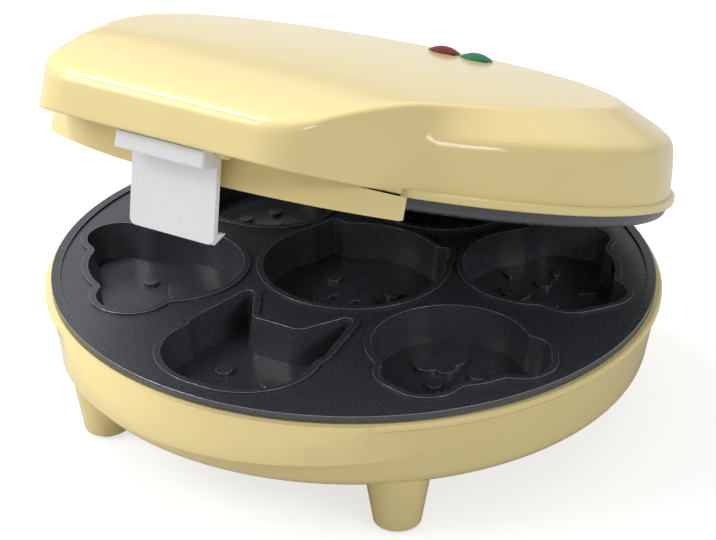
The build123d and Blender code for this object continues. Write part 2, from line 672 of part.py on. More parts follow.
with BuildPart() as upper_plate:
    with BuildSketch(Plane.XY.offset(UPPER_FACE_Z)):
        Circle(PLATE_R)
    extrude(amount=LID_RIM_Z - GAP - UPPER_FACE_Z)
    fillet(upper_plate.edges().group_by(Axis.Z)[0], radius=UPPER_ROUND)
    with BuildSketch(Plane.XY.offset(UPPER_FACE_Z)):
        Circle(PLATE_R - UPPER_ROUND - UPPER_BORDER_W)
    extrude(amount=RIDGE_H, mode=Mode.SUBTRACT)
    with BuildSketch(Plane.XY.offset(UPPER_BACK_Z)):
        Circle(PLATE_R - UPPER_ROUND - UPPER_BORDER_W)
    extrude(amount=PLATE_T, mode=Mode.SUBTRACT)
    add(UPPER_PODS)
    add(UPPER_MOULDS, mode=Mode.SUBTRACT)
    add(UPPER_FACES)
    add(UPPER_POSTS)
    add(UPPER_HEAD_HOLES, mode=Mode.SUBTRACT)
    add(UPPER_SCREW_HOLES, mode=Mode.SUBTRACT)

LOWER_FACE = Location((0, 0, LOWER_TOP_Z))
LOWER_PODS = moulds(LOWER_DEPTH + MOULD_FLOOR, 0).moved(LOWER_FACE)
LOWER_MOULDS = moulds(LOWER_DEPTH, RIDGE_W).moved(LOWER_FACE)
LOWER_FACES = faces(LOWER_DEPTH).moved(LOWER_FACE)
LOWER_POSTS = posts(POST_BOSS_R, LOWER_POST_Z, LOWER_UNDER_Z)
LOWER_THREADS = posts(SCREW_R + THREAD_GAP, LOWER_POST_Z, LOWER_POST_Z + SCREW_BITE + OVERLAP)

with BuildPart() as lower_plate:
    with BuildSketch(Plane.XY.offset(LOWER_UNDER_Z)):
        Circle(PLATE_R)
    extrude(amount=PLATE_T)
    with BuildSketch(Plane.XY.offset(LOWER_TOP_Z)):
        Circle(PLATE_R - BORDER_W)
    extrude(amount=-RIDGE_H, mode=Mode.SUBTRACT)
    add(LOWER_POSTS)
    add(LOWER_PODS)
    add(LOWER_MOULDS, mode=Mode.SUBTRACT)
    add(LOWER_FACES)
    add(LOWER_THREADS, mode=Mode.SUBTRACT)


def element(centre_z):
    """A heating rod bent round under the moulds, with a terminal pin at each end."""
    with BuildPart() as form:
        with BuildLine():
            rod = CenterArc((0, 0, centre_z), ELEMENT_R, 90 + ELEMENT_GAP_ANGLE / 2, 360 - ELEMENT_GAP_ANGLE)
        with BuildSketch(Plane(rod @ 0, z_dir=rod % 0)):
            Circle(ELEMENT_ROD_R)
        sweep()
        for end, outward in ((rod @ 0, rod % 0 * -1), (rod @ 1, rod % 1)):
            with BuildSketch(Plane(end, z_dir=outward)):
                Circle(TERMINAL_R)
            extrude(amount=TERMINAL_L)
    return form.part


def reflector():
    """A dished sheet with a flat rim, its rim's face at z = 0 and its dish below."""
    screw_holes = posts(SCREW_R + HOLE_GAP, -REFLECTOR_DEPTH, REFLECTOR_T)
    with BuildPart() as form:
        with BuildSketch(Plane.XZ):
            with BuildLine():
                Polyline(
                    (0, -REFLECTOR_DEPTH),
                    (REFLECTOR_DISH_R, -REFLECTOR_DEPTH),
                    (REFLECTOR_BEND_R, 0),
                    (REFLECTOR_R, 0),
                    (REFLECTOR_R, -REFLECTOR_T),
                    (REFLECTOR_BEND_R, -REFLECTOR_T),
                    (REFLECTOR_DISH_R, -REFLECTOR_DEPTH - REFLECTOR_T),
                    (0, -REFLECTOR_DEPTH - REFLECTOR_T),
                    close=True,
                )
            make_face()
        revolve(axis=Axis.Z)
        add(screw_holes, mode=Mode.SUBTRACT)
    return form.part


def plate_screws():
    """Three screws, each head's seat at z = 0 and its shank upwards."""
    heads = posts(SCREW_HEAD_R, -SCREW_HEAD_H, 0)
    shanks = posts(SCREW_R, 0, SCREW_SEAT_T + SCREW_BITE)
    with BuildPart() as form:
        add(heads)
        add(shanks)
    return form.part


def lens(x):
    """A domed lamp cap with a hollow stem through the roof."""
    seat_z = LAMP_ROOF_Z + LENS_SEAT
    with BuildPart() as form:
        with BuildSketch(Plane.XZ.offset(-LAMP_Y)):
            with BuildLine():
                Polyline(
                    (x, seat_z + LENS_DOME),
                    (x, seat_z - LENS_CAP_T + LENS_DOME),
                    (x + LENS_BORE_R, seat_z - LENS_CAP_T + LENS_DOME),
                    (x + LENS_BORE_R, seat_z - LENS_STEM_L),
                    (x + LENS_STEM_R, seat_z - LENS_STEM_L),
                    (x + LENS_STEM_R, seat_z),
                    (x + LENS_R, seat_z),
                    (x + LENS_R, seat_z + LENS_EDGE),
                )
                TangentArc((x, seat_z + LENS_DOME), (x + LENS_R, seat_z + LENS_EDGE), tangent=(1, 0))
            make_face()
        revolve(axis=Axis((x, LAMP_Y, 0), (0, 0, 1)))
    return form.part


with BuildPart() as lower_element:
    add(element(LOWER_POST_Z - ELEMENT_ROD_R))

with BuildPart() as upper_element:
    add(element(UPPER_POST_Z + ELEMENT_ROD_R))

with BuildPart() as lower_reflector:
    add(reflector().moved(Location((0, 0, LOWER_POST_Z))))

with BuildPart() as upper_reflector:
    add(reflector().mirror(Plane.XY).moved(Location((0, 0, UPPER_POST_Z))))

with BuildPart() as lower_plate_screws:
    add(plate_screws().moved(Location((0, 0, LOWER_POST_Z - SCREW_SEAT_T))))

with BuildPart() as upper_plate_screws:
    add(plate_screws().moved(Location((0, 0, UPPER_POST_Z - SCREW_SEAT_T))))

with BuildPart() as red_lens:
    add(lens(-LAMP_X))

with BuildPart() as green_lens:
    add(lens(LAMP_X))

with BuildPart() as neon_lamps:
    with BuildSketch(Plane.XY.offset(LAMP_ROOF_Z + LENS_SEAT - LENS_CAP_T + LENS_DOME - GAP)):
        with Locations((-LAMP_X, LAMP_Y), (LAMP_X, LAMP_Y)):
            Circle(NEON_R)
    extrude(amount=-NEON_L)

with BuildPart() as foot_pads:
    with BuildSketch():
        with GridLocations(2 * FOOT_X, 2 * FOOT_Y, 2, 2):
            Circle(PAD_R)
    extrude(amount=PAD_PROUD + PAD_DEEP)

with BuildPart() as cord_inlet:
    with BuildSketch(Plane.XZ.offset(-INLET_FLAT_Y)):
        with Locations((0, INLET_Z)):
            Circle(INLET_FLANGE_R)
    extrude(amount=-INLET_FLANGE_T)
    with BuildSketch(Plane.XZ.offset(-INLET_FLAT_Y)):
        with Locations((0, INLET_Z)):
            Circle(INLET_NECK_R)
    extrude(amount=INLET_FLAT_Y - BASE_LOW_R + WALL)
    with BuildSketch(Plane.XZ.offset(WALL - BASE_LOW_R)):
        with Locations((0, INLET_Z)):
            Circle(INLET_BARB_R)
    extrude(amount=INLET_FLANGE_T)
    with BuildSketch(Plane.XZ.offset(-INLET_FLAT_Y - INLET_FLANGE_T)):
        with Locations((0, INLET_Z)):
            Circle(INLET_BORE_R)
    extrude(amount=INLET_FLAT_Y, mode=Mode.SUBTRACT)

with BuildPart() as hinge_pins:
    with BuildSketch(Plane.YZ.offset(PIN_INNER)):
        with Locations((HINGE_Y, HINGE_Z)):
            Circle(PIN_R)
    extrude(amount=EAR_INNER + EAR_T - PIN_INNER)
    with BuildSketch(Plane.YZ.offset(EAR_INNER + EAR_T)):
        with Locations((HINGE_Y, HINGE_Z)):
            Circle(PIN_HEAD_R)
    extrude(amount=PIN_HEAD_T)
    mirror(about=Plane.YZ)

with BuildPart() as cover_screws:
    with BuildSketch(Plane.XY.offset(COVER_Z)):
        with Locations((-COVER_SCREW_X, COVER_SCREW_Y), (COVER_SCREW_X, COVER_SCREW_Y)):
            Circle(SCREW_R)
    extrude(amount=COVER_T + GAP + SCREW_BITE)
    with BuildSketch(Plane.XY.offset(COVER_Z)):
        with Locations((-COVER_SCREW_X, COVER_SCREW_Y), (COVER_SCREW_X, COVER_SCREW_Y)):
            Circle(SCREW_HEAD_R)
    extrude(amount=-SCREW_HEAD_H)


def latch_face(z):
    """Where the latch's leaning outer face lies at a height."""
    return LATCH_Y + (LATCH_Z - z) * tan(radians(LATCH_LEAN))


LATCH_T_ACROSS = LATCH_T / cos(radians(LATCH_LEAN))

with BuildPart() as latch:
    with BuildSketch(Plane.YZ):
        with BuildLine():
            Polyline(
                (LATCH_Y, LATCH_Z),
                (latch_face(LATCH_LOW_Z), LATCH_LOW_Z),
                (latch_face(LATCH_LOW_Z) + LATCH_T_ACROSS, LATCH_LOW_Z),
                (LATCH_Y + LATCH_T_ACROSS, LATCH_Z),
                close=True,
            )
        make_face()
    extrude(amount=LATCH_HALF, both=True)
    low_edges = latch.edges().filter_by(Axis.X, reverse=True).group_by(Axis.Z)[0]
    fillet(low_edges, radius=LATCH_T)
    with BuildSketch(Plane.YZ):
        with Locations((LATCH_Y, LATCH_Z)):
            Circle(LATCH_BARREL_R)
    extrude(amount=LATCH_HALF, both=True)
    with BuildSketch(Plane.YZ):
        with BuildLine():
            Polyline(
                (latch_face(LATCH_LOW_Z) + LATCH_T_ACROSS / 2, LATCH_LOW_Z),
                (latch_face(LATCH_LOW_Z) + HOOK_REACH, HOOK_TIP_Z),
                (latch_face(LATCH_LOW_Z) + HOOK_REACH, HOOK_TOP_Z),
                (latch_face(HOOK_TOP_Z) + LATCH_T_ACROSS / 2, HOOK_TOP_Z),
                close=True,
            )
        make_face()
    extrude(amount=LATCH_HALF - LATCH_T, both=True)
    with BuildSketch(Plane.YZ):
        with BuildLine():
            Polyline(
                (LATCH_Y - BAR_REACH, BAR_LOW_Z),
                (latch_face(BAR_LOW_Z), BAR_LOW_Z),
                (latch_face(BAR_TOP_Z), BAR_TOP_Z),
                (LATCH_Y - BAR_REACH, BAR_TOP_Z),
                close=True,
            )
        make_face()
    extrude(amount=BAR_HALF, both=True)
    fillet(latch.edges().group_by(Axis.Y)[0], radius=BAR_ROUND)
    with BuildSketch(Plane.YZ):
        with Locations((LATCH_Y, LATCH_Z)):
            Circle(LATCH_PIN_R + TURN_GAP)
    extrude(amount=BAR_HALF, both=True, mode=Mode.SUBTRACT)

with BuildPart() as latch_pin:
    with BuildSketch(Plane.YZ):
        with Locations((LATCH_Y, LATCH_Z)):
            Circle(LATCH_PIN_R - THREAD_GAP)
    extrude(amount=LATCH_SLOT_HALF + LUG_T, both=True)

BASE_PIECES = {
    "base_shell": base_shell,
    "foot_pads": foot_pads,
    "cord_inlet": cord_inlet,
    "hinge_pins": hinge_pins,
    "lower_reflector": lower_reflector,
    "lower_element": lower_element,
    "lower_plate": lower_plate,
    "lower_plate_screws": lower_plate_screws,
}
LID_PIECES = {
    "lid_shell": lid_shell,
    "handle_cover": handle_cover,
    "cover_screws": cover_screws,
    "upper_reflector": upper_reflector,
    "upper_element": upper_element,
    "upper_plate": upper_plate,
    "upper_plate_screws": upper_plate_screws,
    "red_lens": red_lens,
    "green_lens": green_lens,
    "neon_lamps": neon_lamps,
    "latch_pin": latch_pin,
    "latch": latch,
}
HINGE = Location((0, HINGE_Y, HINGE_Z))
OPENING = HINGE * Location((0, 0, 0), (-LID_ANGLE, 0, 0)) * HINGE.inverse()

os.makedirs("parts", exist_ok=True)
for piece in LID_PIECES.values():
    piece.part.move(OPENING)
for name, piece in (BASE_PIECES | LID_PIECES).items():
    piece.part.label = name
    export_step(piece.part, f"parts/{name}.step")
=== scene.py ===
import bmesh
import bpy
import json
import math
from mathutils import Matrix, Vector


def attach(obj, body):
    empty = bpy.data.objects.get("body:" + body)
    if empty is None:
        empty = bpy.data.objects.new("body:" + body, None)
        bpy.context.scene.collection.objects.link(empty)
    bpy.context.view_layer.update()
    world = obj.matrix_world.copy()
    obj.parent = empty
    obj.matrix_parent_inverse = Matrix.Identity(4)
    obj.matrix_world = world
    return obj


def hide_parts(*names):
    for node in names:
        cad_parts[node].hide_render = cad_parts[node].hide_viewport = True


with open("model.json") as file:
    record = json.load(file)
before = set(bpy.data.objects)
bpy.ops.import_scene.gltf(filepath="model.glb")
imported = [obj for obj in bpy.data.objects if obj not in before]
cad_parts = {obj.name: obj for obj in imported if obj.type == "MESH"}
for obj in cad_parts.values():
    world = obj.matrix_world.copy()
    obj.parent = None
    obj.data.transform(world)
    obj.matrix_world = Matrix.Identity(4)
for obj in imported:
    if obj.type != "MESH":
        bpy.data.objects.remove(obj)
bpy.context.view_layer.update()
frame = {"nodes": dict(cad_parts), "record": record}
nodes = frame["nodes"]

# Camera. It stands in front of the appliance, to its right and above, and looks down past the ajar lid.
camera = bpy.data.objects.new("camera", bpy.data.cameras.new("camera"))
camera.location = (0.3990, -0.6664, 0.4474)
camera.rotation_euler = (math.radians(90 - 27.3), 0, math.radians(30.8))
camera.data.lens = 125.8
camera.data.clip_end = 20
bpy.context.scene.collection.objects.link(camera)
bpy.context.scene.camera = camera
bpy.context.scene.view_settings.view_transform = "Standard"


# Table. A plain pale sheet that keeps the appliance's soft shadow and looks white to the camera.
def linear(hex_colour):
    """An sRGB hex colour as linear RGBA."""
    parts = [int(hex_colour[i:i + 2], 16) / 255 for i in (1, 3, 5)]
    return [p / 12.92 if p <= 0.04045 else ((p + 0.055) / 1.055) ** 2.4 for p in parts] + [1]


def add_node(tree, kind, values=None, links=None, **settings):
    """Adds one node, with its sockets' values, the sockets that it is linked from and its settings."""
    made = tree.nodes.new(kind)
    for name, setting in settings.items():
        setattr(made, name, setting)
    for socket, value in (values or {}).items():
        made.inputs[socket].default_value = value
    for socket, source in (links or {}).items():
        tree.links.new(source, made.inputs[socket])
    return made


def new_material(name):
    """An empty material and its node tree."""
    material = bpy.data.materials.new(name)
    material.use_nodes = True
    material.node_tree.nodes.clear()
    return material, material.node_tree


def new_piece(name, form, material):
    """A smooth-shaded mesh object at the origin, made from a bmesh."""
    mesh = bpy.data.meshes.new(name)
    form.to_mesh(mesh)
    form.free()
    mesh.polygons.foreach_set("use_smooth", [True] * len(mesh.polygons))
    mesh.materials.append(material)
    piece = bpy.data.objects.new(name, mesh)
    bpy.context.scene.collection.objects.link(piece)
    return piece


TABLE_SIZE = 30.0
table_sheet, tree = new_material("table_sheet_matte_white")
rays = add_node(tree, "ShaderNodeLightPath")
seen = add_node(tree, "ShaderNodeMath", None,
                {0: rays.outputs["Is Camera Ray"], 1: rays.outputs["Is Transmission Ray"]}, operation="MAXIMUM")
paper = add_node(tree, "ShaderNodeBsdfDiffuse", {"Color": linear("#C6C6C6")})
glow = add_node(tree, "ShaderNodeEmission", {"Color": (1, 1, 1, 1), "Strength": 0.68})
lit = add_node(tree, "ShaderNodeAddShader", links={0: paper.outputs[0], 1: glow.outputs[0]})
mix = add_node(tree, "ShaderNodeMixShader", links={0: seen.outputs[0], 1: paper.outputs[0], 2: lit.outputs[0]})
add_node(tree, "ShaderNodeOutputMaterial", links={"Surface": mix.outputs[0]})
form = bmesh.new()
bmesh.ops.create_grid(form, x_segments=1, y_segments=1, size=TABLE_SIZE / 2)
table = new_piece("table_sheet", form, table_sheet)

# Studio light. An evenly bright room with soft panels: a main one from the upper left, one overhead and a weaker one
# from the right.
world = bpy.data.worlds.new("studio")
bpy.context.scene.world = world
world.use_nodes = True
tree = world.node_tree
tree.nodes.clear()
room = add_node(tree, "ShaderNodeBackground", {"Color": (1, 1, 1, 1), "Strength": 0.45})
add_node(tree, "ShaderNodeOutputWorld", links={"Surface": room.outputs[0]})

LIGHT_AIM = Vector((0, 0, 0.05))
for name, place, size, watts in (
    ("main_panel", (-1.0, -1.0, 1.1), (0.8, 0.8), 10.8),
    ("side_panel", (1.65, -0.45, 0.95), (0.8, 0.25), 6.3),
    ("top_panel", (-0.6, 0.05, 1.15), (0.5, 0.5), 12.0),
):
    panel = bpy.data.lights.new(name, "AREA")
    panel.shape = "RECTANGLE"
    panel.size, panel.size_y = size
    panel.energy = watts
    lamp = bpy.data.objects.new(name, panel)
    lamp.location = place
    lamp.rotation_euler = (LIGHT_AIM - Vector(place)).to_track_quat("-Z", "Y").to_euler()
    bpy.context.scene.collection.objects.link(lamp)


# Base housing. One cream bowl of ABS, injection-moulded in one with its rim, front lip, feet and hinge ears. It
# carries the lower plate on three posts, and the cord comes in at its back.
MM = 0.001
MOULD_EDGE = 0.5 * MM               # rounding that a polished mould leaves on its outer edges
ROUND_STEPS = 3                     # facets across a rounded edge
SAME_POINT = 0.002 * MM
FLAT_TURN = math.radians(0.05)      # faces that turn less than this are one flat
SHARP_TURN = math.radians(28)       # and those that turn more than this meet in an edge


def refine(name, node, material, width):
    """A copy of a CAD piece in its stead: sharp outer edges are rounded, inner ones stay sharp in the shading."""
    form = bmesh.new()
    form.from_mesh(nodes[node].data)
    bmesh.ops.remove_doubles(form, verts=form.verts[:], dist=SAME_POINT)
    bmesh.ops.dissolve_limit(form, angle_limit=FLAT_TURN, verts=form.verts[:], edges=form.edges[:])
    weight = form.edges.layers.float.new("bevel_weight_edge")
    for edge in form.edges:
        turn = edge.calc_face_angle_signed(0)
        edge.smooth = abs(turn) < SHARP_TURN
        edge[weight] = float(turn > SHARP_TURN)
    piece = new_piece(name, form, material)
    bevel = piece.modifiers.new("rounded edges", "BEVEL")
    bevel.width = width
    bevel.segments = ROUND_STEPS
    bevel.limit_method = "WEIGHT"
    bevel.harden_normals = True
    bodies = frame["record"]["behaviour"]["bodies"]
    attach(piece, next(body for body, members in bodies.items() if node in members))
    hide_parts(node)
    return piece


def grained(name, tones, roughness, grain, depth, stretch=(1, 1, 1), **values):
    """A material whose grain (size and depth in mm) varies it between two tones and between two roughnesses.

    Stretch scales the grain's pattern along each axis. Further values go to the shader's sockets, with underscores
    for the spaces in their names."""
    material, tree = new_material(name)
    coords = add_node(tree, "ShaderNodeTexCoord")
    place = add_node(tree, "ShaderNodeMapping", {"Scale": stretch}, {"Vector": coords.outputs["Object"]})
    noise = add_node(tree, "ShaderNodeTexNoise", {"Scale": 1 / (grain * MM), "Detail": 3.0},
                     {"Vector": place.outputs[0]})
    colours = {6: linear(tones[0]), 7: linear(tones[1])}    # its sockets A and B for colours
    tone = add_node(tree, "ShaderNodeMix", colours, {0: noise.outputs["Fac"]}, data_type="RGBA")
    gloss = add_node(tree, "ShaderNodeMapRange", {"To Min": roughness[0], "To Max": roughness[1]},
                     {"Value": noise.outputs["Fac"]})
    relief = add_node(tree, "ShaderNodeBump", {"Strength": 1.0, "Distance": depth * MM},
                      {"Height": noise.outputs["Fac"]})
    shader = add_node(tree, "ShaderNodeBsdfPrincipled",
                      {socket.replace("_", " "): value for socket, value in values.items()},
                      {"Base Color": tone.outputs[2], "Roughness": gloss.outputs[0], "Normal": relief.outputs[0]})
    add_node(tree, "ShaderNodeOutputMaterial", links={"Surface": shader.outputs[0]})
    return material


# ABS from a polished mould: high gloss with the faint long ripple that thick mouldings show in reflections.
cream_abs = grained("abs_cream_gloss_moulded", ("#F2DFA2", "#EEDA9A"), (0.10, 0.16), grain=14, depth=0.05, IOR=1.53,
                    Specular_IOR_Level=0.38)
refine("base_housing", "base_shell", cream_abs, MOULD_EDGE)

# Lid housing. The same cream ABS, one deep moulding: a round wall with a slight draft, a soft crease, a sloping
# shoulder and an arched roof, which run through hollow necks into the broad handle. All its edges are well rounded.
# Its sizes are in millimetres, with the lid shut; OPEN swings it to where it rests.
LID_ANGLE = math.radians(19.5)
HINGE_Y, HINGE_Z = 112.6, 50.8
HINGE = Vector((0, HINGE_Y, HINGE_Z)) * MM
OPEN = Matrix.Translation(HINGE) @ Matrix.Rotation(-LID_ANGLE, 4, "X") @ Matrix.Translation(-HINGE)
LID_WALL = 2.4
LID_RIM_R, LID_RIM_Z = 105.9, 54.1
CREASE_R, CREASE_Z, CREASE_ROUND = 103.8, 75.2, 4.0
PANEL_R, PANEL_Z = 83.3, 84.3       # where the shoulder ends and the roof's panel begins
HANDLE_Y, HANDLE_HALF, HANDLE_CORNER_R, NECK_R = -132.7, 33.5, 18.0, 25.0
HANDLE_RISE_Y = -82.0               # the handle's lower edge rises from here to its front
HANDLE_RISE = math.tan(math.radians(7.07))
CREST_Y, CREST_Z, ROOF_R, ROOF_ACROSS_R = 15.0, 85.4, 2300.0, 3000.0
NOSE_Y, ROOF_FRONT_Z = -76.0, 73.9  # the roof bends down from here to the handle's front

nose_z = CREST_Z - (NOSE_Y - CREST_Y) ** 2 / (2 * ROOF_R)
nose_turn = math.atan((CREST_Y - NOSE_Y) / ROOF_R)
run, fall = NOSE_Y - HANDLE_Y, nose_z - ROOF_FRONT_Z
nose_r = (run ** 2 + fall ** 2) / (2 * (fall * math.cos(nose_turn) - run * math.sin(nose_turn)))


def roof(x, y):
    """Height of the arched roof over a place of the plan."""
    if y < NOSE_Y:
        ridge_z = nose_z - nose_r * math.cos(nose_turn)
        ridge_z += math.sqrt(nose_r ** 2 - (NOSE_Y - y + nose_r * math.sin(nose_turn)) ** 2)
    else:
        ridge_z = CREST_Z - (y - CREST_Y) ** 2 / (2 * ROOF_R)
    return ridge_z - ROOF_ACROSS_R + math.sqrt(ROOF_ACROSS_R ** 2 - x ** 2)


def run_along(start, end, steps):
    """Evenly spaced points of a straight edge, without its last one."""
    return [start.lerp(end, i / steps) for i in range(steps)]


def turn_round(centre, start, end, steps):
    """Evenly spaced points of a round edge about its centre, without its last one."""
    turn = (start - centre).angle_signed(end - centre)
    return [centre + Matrix.Rotation(-turn * i / steps, 2) @ (start - centre) for i in range(steps)]


FRONT_STEPS, CORNER_STEPS, SIDE_STEPS, NECK_STEPS, BEND_STEPS, BACK_STEPS = 5, 8, 5, 7, 5, 24


def lid_plan(wall_r, side_r, necks=True):
    """Half of the lid's outline at one level, from the middle of the handle's front round to the back.

    The handle's sides touch a circle of side_r. They run through necks into the wall's circle, or straight on."""
    corner = Vector((HANDLE_HALF, HANDLE_Y + HANDLE_CORNER_R))
    lean = math.asin((side_r - HANDLE_CORNER_R) / corner.length) - math.atan2(corner.x, -corner.y)
    out = Vector((math.cos(lean), -math.sin(lean)))
    along = Vector((-math.sin(lean), -math.cos(lean)))
    neck_at = math.sqrt((wall_r + NECK_R) ** 2 - (side_r + NECK_R) ** 2)
    neck = out * (side_r + NECK_R) + along * neck_at
    side = out * side_r + along * neck_at
    front = Vector((HANDLE_HALF, HANDLE_Y))
    middle = Vector((0, 0))
    points = run_along(Vector((0, HANDLE_Y)), front, FRONT_STEPS)
    points += turn_round(corner, front, corner + out * HANDLE_CORNER_R, CORNER_STEPS)
    points += run_along(corner + out * HANDLE_CORNER_R, side, SIDE_STEPS)
    if necks:
        round_r = wall_r
        bend = neck.normalized() * wall_r
        points += turn_round(neck, side, bend, NECK_STEPS)
        points += turn_round(middle, bend, out * wall_r, BEND_STEPS)
    else:
        round_r = side_r
        bend = (out + along * neck_at / (side_r + NECK_R)) * side_r
        points += run_along(side, bend, NECK_STEPS)
        points += run_along(bend, out * side_r, BEND_STEPS)
    back = Vector((0, round_r))
    points += turn_round(middle, out * round_r, back, BACK_STEPS)
    return points + [back]


# Radius and height below, in and above the crease's rounding, then the outline of each level with its height.
slope = (PANEL_Z - CREASE_Z) / (CREASE_R - PANEL_R)
draft = (LID_RIM_R - CREASE_R) / (CREASE_Z - LID_RIM_Z)
below = (CREASE_R + draft * CREASE_ROUND, CREASE_Z - CREASE_ROUND)
above = (CREASE_R - CREASE_ROUND * math.cos(math.atan(slope)), CREASE_Z + CREASE_ROUND * math.sin(math.atan(slope)))
crease = ((below[0] + above[0] + 2 * CREASE_R) / 4, (below[1] + above[1] + 2 * CREASE_Z) / 4)
levels = [(z, lid_plan(wall_r, min(PANEL_R, PANEL_R - (CREASE_R - wall_r) / 2)))
          for wall_r, z in ((LID_RIM_R, LID_RIM_Z), below, crease, above)]
top_z = CREST_Z + LID_WALL          # the shoulder is drawn on to over the roof, which then cuts it
levels.append((top_z, lid_plan(CREASE_R, PANEL_R - (top_z - PANEL_Z) / slope, necks=False)))


def on_wall(column, z):
    """The point of one column of the lid's wall and shoulder at a height."""
    for (low_z, low), (high_z, high) in zip(levels, levels[1:]):
        if z <= high_z or high_z == top_z:
            place = low[column].lerp(high[column], (z - low_z) / (high_z - low_z))
            return Vector((place.x, place.y, z))


HALVINGS = 30                           # steps of the search for the border between shoulder and roof
RIM_RING, LOW_RING = 1.0, 6.0           # how high the first rings stand over the lower edge
RING_ROOMS = (15, 12, 10, 8)            # what the wall's rings leave free below the border in the handle,
HANDLE_FROM_Y, FULL_WALL = -60, 18      # from here on, and less than that where its wall is lower than this
ROOF_EDGE_ROUND, HANDLE_EDGE_ROUND = 2.4, 5.2
WIDEN_FROM_Y, WIDEN_OVER = -75, 30      # where the roof's edge passes from the one rounding to the other
ROOF_CENTRE = Vector((0, -20))
ROOF_SHARES = (0.15, 0.4, 0.7, 0.92)    # the roof's rings, as shares of the way from the border to its centre


def lid_column(column):
    """A column of the lid's outside, from its lower edge up over the rounded edge and along the roof."""
    low, high = LID_RIM_Z, top_z
    for _ in range(HALVINGS):
        border = on_wall(column, (low + high) / 2)
        if border.z < roof(border.x, border.y):
            low = border.z
        else:
            high = border.z
    foot_z = LID_RIM_Z + HANDLE_RISE * max(0, HANDLE_RISE_Y - on_wall(column, LID_RIM_Z).y)
    points = [on_wall(column, foot_z), on_wall(column, foot_z + RIM_RING)]
    squeeze = min(1, (border.z - foot_z - RIM_RING) / FULL_WALL)
    for z, room in zip((foot_z + LOW_RING, below[1], crease[1], above[1]), RING_ROOMS):
        if border.y < HANDLE_FROM_Y:
            z = min(z, border.z - room * squeeze)
        points.append(on_wall(column, z))
    widen = min(1, max(0, (WIDEN_FROM_Y - border.y) / WIDEN_OVER))
    width = ROOF_EDGE_ROUND + (HANDLE_EDGE_ROUND - ROOF_EDGE_ROUND) * widen
    down = (on_wall(column, border.z - 1) - border).normalized()
    inward = (ROOF_CENTRE - border.xy).normalized()
    points += [border + down * width, border]
    places = [border.xy + inward * width] + [border.xy.lerp(ROOF_CENTRE, share) for share in ROOF_SHARES]
    return points + [Vector((place.x, place.y, roof(place.x, place.y))) for place in places]


MIRROR_GAP = 0.01 * MM
columns = [lid_column(column) for column in range(len(levels[0][1]))]
form = bmesh.new()
rings = []
for ring in range(len(columns[0])):
    half = [form.verts.new(points[ring] * MM) for points in columns]
    if ring:
        for i in range(len(half) - 1):
            form.faces.new((rings[-1][i], rings[-1][i + 1], half[i + 1], half[i]))
    rings.append(half)
form.faces.new(half)
bmesh.ops.mirror(form, geom=form.verts[:] + form.edges[:] + form.faces[:], axis="X", merge_dist=MIRROR_GAP)
bmesh.ops.recalc_face_normals(form, faces=form.faces[:])
form.transform(OPEN)
lid = new_piece("lid_housing", form, cream_abs)
wall = lid.modifiers.new("wall", "SOLIDIFY")
wall.thickness = LID_WALL * MM
wall.offset = -1
smooth = lid.modifiers.new("moulded curves", "SUBSURF")
smooth.levels = smooth.render_levels = 2

# The lid's rim bead. The same ABS, moulded on round the lower edge; its ends run out in the necks.
BEAD_IN_R, BEAD_R, BEAD_H, BEAD_ROUND = LID_RIM_R - 1, 107.2, 3.0, 0.8
BEAD_RUN_OUT = math.radians(4)
BEAD_STEPS = 120
neck_end = levels[0][1][FRONT_STEPS + CORNER_STEPS + SIDE_STEPS + NECK_STEPS]
bead_from = math.atan2(neck_end.y, neck_end.x) - BEAD_RUN_OUT
bead_z = LID_RIM_Z + BEAD_H
form = bmesh.new()
corners = [form.verts.new(Vector((x, 0, z)) * MM)
           for x, z in ((BEAD_IN_R, LID_RIM_Z), (BEAD_R, LID_RIM_Z), (BEAD_R, bead_z), (BEAD_IN_R, bead_z))]
form.faces.new(corners)
bmesh.ops.bevel(form, geom=corners[1:3], offset=BEAD_ROUND * MM, segments=ROUND_STEPS, profile=0.5,
                affect="VERTICES", material=-1)
bmesh.ops.rotate(form, verts=form.verts[:], cent=(0, 0, 0), matrix=Matrix.Rotation(bead_from, 3, "Z"))
bmesh.ops.spin(form, geom=form.verts[:] + form.edges[:] + form.faces[:], axis=(0, 0, 1), cent=(0, 0, 0),
               angle=math.pi - 2 * bead_from, steps=BEAD_STEPS)
bmesh.ops.recalc_face_normals(form, faces=form.faces[:])
form.transform(OPEN)
bead = new_piece("lid_rim_bead", form, cream_abs)

# The lid's knuckle. The same ABS, moulded on at the back; it turns between the base's ears on the hinge pins.
KNUCKLE_HALF, KNUCKLE_R, KNUCKLE_ROOT_R = 17.5, 5.8, 1.0
KNUCKLE_ROOT_Y, KNUCKLE_ROOT_ZS = 104.5, (59.0, 71.2)
CIRCLE_STEPS = 40
FACET_TURN = math.radians(0.5)      # the hull's facets that turn less than this are one flat
END_TURN = math.radians(60)         # the edges round its two ends turn more than this
form = bmesh.new()
for y, z, radius in [(HINGE_Y, HINGE_Z, KNUCKLE_R)] + [(KNUCKLE_ROOT_Y, z, KNUCKLE_ROOT_R) for z in KNUCKLE_ROOT_ZS]:
    for x in (-KNUCKLE_HALF, KNUCKLE_HALF):
        place = Matrix.Translation(Vector((x, y, z)) * MM) @ Matrix.Rotation(math.pi / 2, 4, "Y")
        bmesh.ops.create_circle(form, segments=CIRCLE_STEPS, radius=radius * MM, matrix=place)
hull = bmesh.ops.convex_hull(form, input=form.verts[:])
bmesh.ops.delete(form, geom=hull["geom_interior"] + hull["geom_unused"], context="VERTS")
bmesh.ops.dissolve_limit(form, angle_limit=FACET_TURN, verts=form.verts[:], edges=form.edges[:])
ends = [edge for edge in form.edges if edge.calc_face_angle() > END_TURN]
bmesh.ops.bevel(form, geom=ends, offset=MOULD_EDGE, segments=ROUND_STEPS, profile=0.5, affect="EDGES", material=-1)
form.transform(OPEN)
